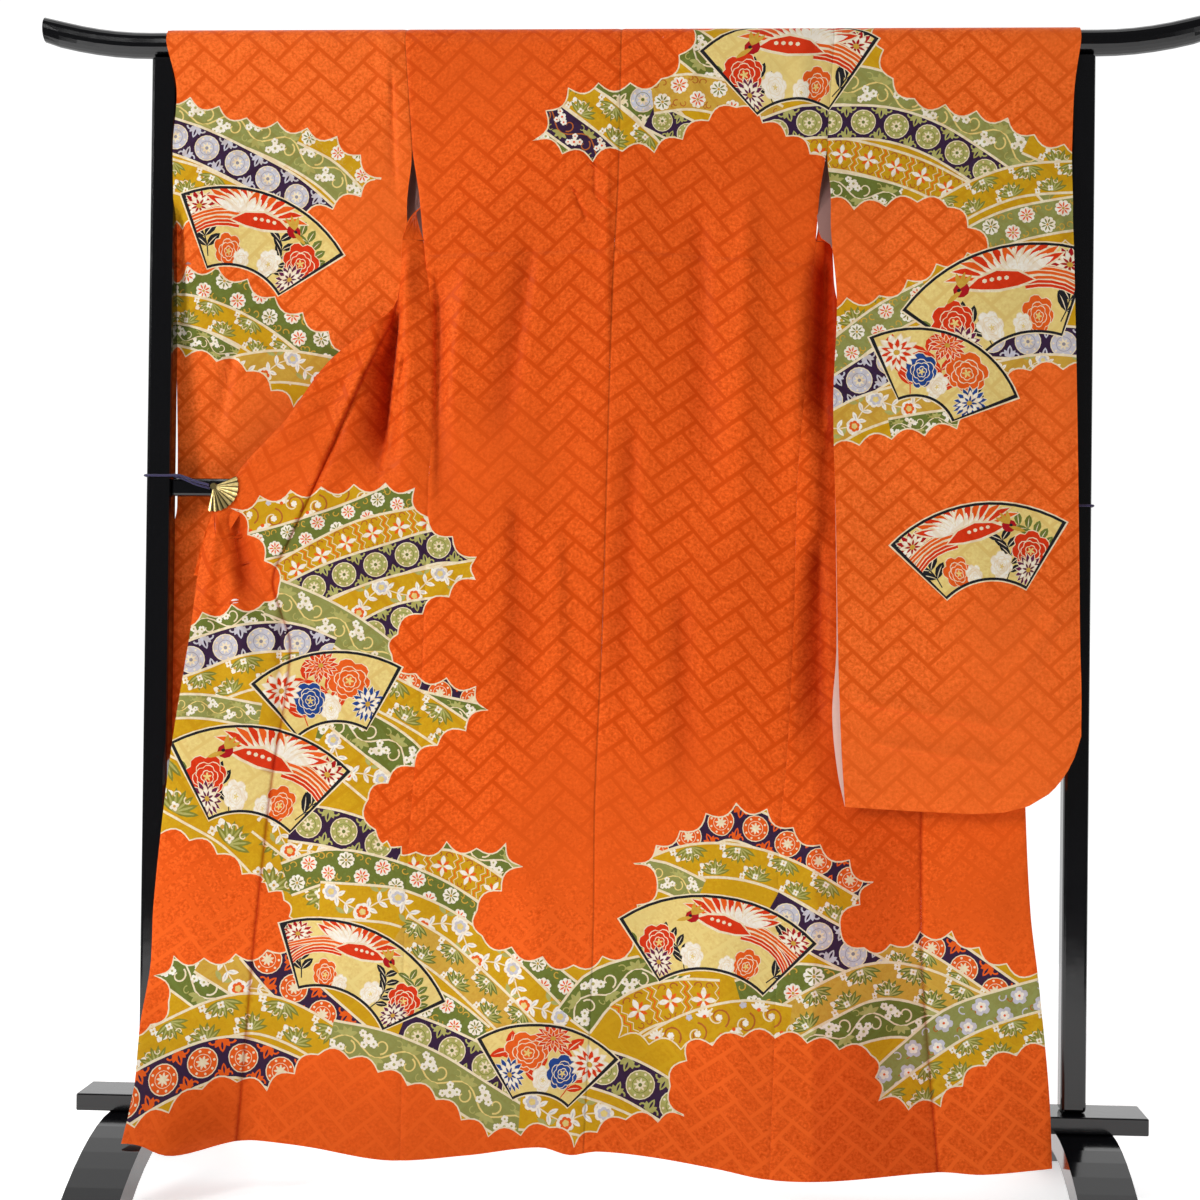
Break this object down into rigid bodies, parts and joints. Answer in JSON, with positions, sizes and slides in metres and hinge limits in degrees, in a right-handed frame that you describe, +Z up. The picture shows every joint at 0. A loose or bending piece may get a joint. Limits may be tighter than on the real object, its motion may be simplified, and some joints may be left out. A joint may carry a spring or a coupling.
{
  "type": "furisode kimono on lacquered kimono stand",
  "caption": "Long-sleeved silk kimono hung by its sleeves on a black lacquered stand, back to the viewer, its fronts drawn out below the sleeves and clipped to the posts.",
  "frame": {"origin": "centre of the stand's footprint on the floor", "axes": "+X to the viewer's right along the top bar, +Y away from the viewer towards the garment's fronts, +Z up; the garment's back faces -Y"},
  "size_m": [1.7, 0.64, 1.7132],
  "materials": {
    "silk": "figured silk satin, soft sheen",
    "lacquer": "black lacquer, glossy",
    "gilt brass": "gilt, satin",
    "cord": "braided silk cord, matt"
  },
  "bodies": {
    "root": {"back_left": "silk", "back_right": "silk", "front_left": "silk", "front_right": "silk", "okumi_left": "silk", "okumi_right": "silk", "sleeve_left_near": "silk", "sleeve_left_far": "silk", "sleeve_right_near": "silk", "sleeve_right_far": "silk", "collar_neck": "silk", "collar_left_upper": "silk", "collar_right_upper": "silk", "collar_left_tail": "silk", "collar_right_tail": "silk", "top_bar": "lacquer", "post_left": "lacquer", "post_right": "lacquer", "crossbar": "lacquer", "base_plank": "lacquer", "foot_left": "lacquer", "foot_right": "lacquer", "clip_left": "gilt brass", "clip_right": "gilt brass", "tie_left": "cord", "tie_right": "cord"}
  },
  "joints": []
}
